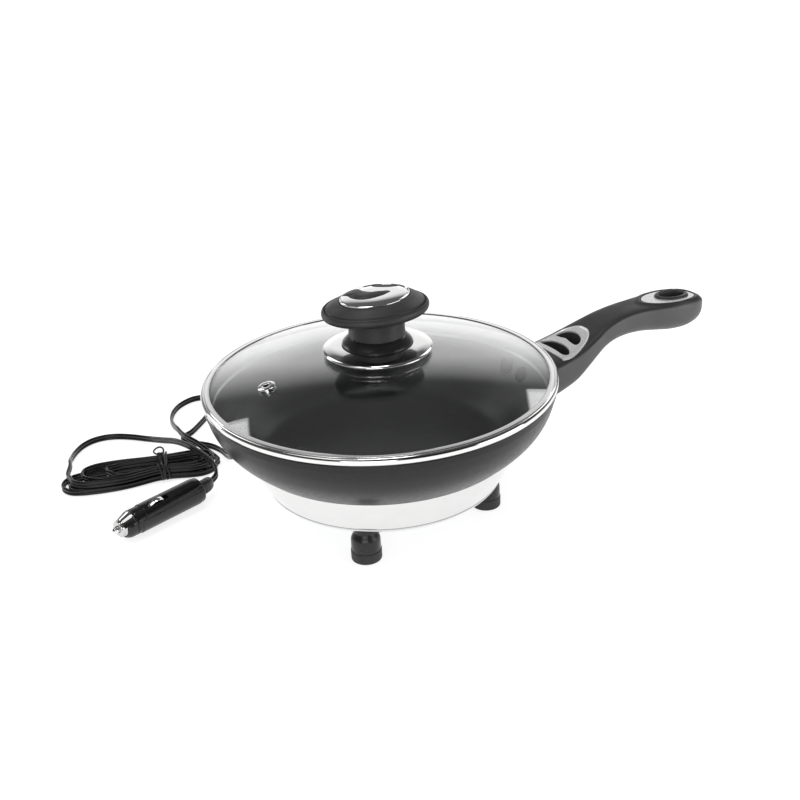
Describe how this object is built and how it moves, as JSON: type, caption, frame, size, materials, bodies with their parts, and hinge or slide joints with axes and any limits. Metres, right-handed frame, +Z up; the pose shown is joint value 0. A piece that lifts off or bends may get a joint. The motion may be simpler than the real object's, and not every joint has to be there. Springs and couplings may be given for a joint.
{
  "type": "electric skillet",
  "caption": "Round car-socket frying pan with heater base on short legs, wavy handle, loose domed glass lid with steel band and oval knob, and a tied twin cord with plug.",
  "frame": {"origin": "on the floor under the middle of the pan and handle's box, cord and plug not counted", "axes": "+Z up, +X from the pan towards the handle's tip, +Y to the far side of the pan in the picture, where the cord lies"},
  "size_m": [0.5171, 0.389, 0.1699],
  "materials": {
    "coated_aluminium": "charcoal non-stick coating on cast aluminium, faint speckle",
    "polished_steel": "polished stainless steel and nickel plate",
    "brushed_aluminium": "satin silver inlay",
    "clear_glass": "clear toughened glass",
    "soft_touch_black": "soft-touch dark grey",
    "gloss_black": "gloss black",
    "black_plastic": "moulded black",
    "rubber": "matt black rubber",
    "silicone": "grey silicone",
    "galvanised_steel": "zinc-plated",
    "brass": "pressed brass",
    "insulation": "pale mineral board and ceramic",
    "heater_sheath": "dark steel heater sheath",
    "cord_vinyl": "black vinyl twin cord",
    "wire_sleeve": "red glass-fibre sleeve",
    "fuse_glass": "glass fuse with metal ends"
  },
  "bodies": {
    "root": {"pan_bowl": "coated_aluminium", "rivet_near": "coated_aluminium", "rivet_far": "coated_aluminium", "handle_bracket": "galvanised_steel", "handle_grip": "soft_touch_black", "handle_front_inlay": "brushed_aluminium", "handle_rear_inlay": "brushed_aluminium", "hang_ring": "gloss_black", "handle_screw": "galvanised_steel", "base_drum": "polished_steel", "base_cover": "galvanised_steel", "heat_spreader": "brushed_aluminium", "heating_element": "heater_sheath", "insulation_pad": "insulation", "base_stud": "galvanised_steel", "stud_washer": "galvanised_steel", "stud_nut": "galvanised_steel", "terminal_block": "insulation", "thermal_cutout": "galvanised_steel", "wire_live": "wire_sleeve", "wire_cutout": "wire_sleeve", "wire_return": "wire_sleeve", "leg_front": "black_plastic", "leg_right": "black_plastic", "leg_rear": "black_plastic", "leg_tip_front": "rubber", "leg_tip_right": "rubber", "leg_tip_rear": "rubber", "leg_screw_front": "galvanised_steel", "leg_screw_right": "galvanised_steel", "leg_screw_rear": "galvanised_steel", "cord_bushing": "rubber", "cord_lead": "cord_vinyl", "cord_hank": "cord_vinyl", "cord_tail": "cord_vinyl", "twist_tie": "black_plastic", "plug_body": "gloss_black", "plug_nose": "polished_steel", "plug_spring": "galvanised_steel", "plug_fuse": "fuse_glass", "fuse_holder": "brass", "plug_relief": "black_plastic"},
    "lid": {"lid_glass": "clear_glass", "lid_rim_band": "polished_steel", "vent_eyelet": "polished_steel", "knob_seal": "silicone", "knob_disc": "polished_steel", "knob_foot": "gloss_black", "knob_neck": "soft_touch_black", "knob_cap": "soft_touch_black", "knob_inlay": "polished_steel", "knob_washer": "silicone", "knob_bolt": "polished_steel"},
    "plug_tip": {"plug_tip": "polished_steel"},
    "contact_upper": {"side_contact_upper": "polished_steel"},
    "contact_lower": {"side_contact_lower": "polished_steel"}
  },
  "joints": [
    {"name": "lid_lift", "type": "slide", "parent": "root", "child": "lid", "axis": [0, 0, 1], "range_m": [0, 0.12]},
    {"name": "tip_press", "type": "slide", "parent": "root", "child": "plug_tip", "axis": [0.9472, 0.3206, 0], "range_m": [0, 0.003], "stiffness_N_per_m": 900, "springref_m": -0.002, "deforming": ["plug_spring"]},
    {"name": "contact_upper_press", "type": "slide", "parent": "root", "child": "contact_upper", "axis": [-0.1044, 0.3084, -0.9455], "range_m": [0, 0.0008], "stiffness_N_per_m": 1500, "springref_m": -0.0008},
    {"name": "contact_lower_press", "type": "slide", "parent": "root", "child": "contact_lower", "axis": [0.1044, -0.3084, 0.9455], "range_m": [0, 0.0008], "stiffness_N_per_m": 1500, "springref_m": -0.0008}
  ]
}
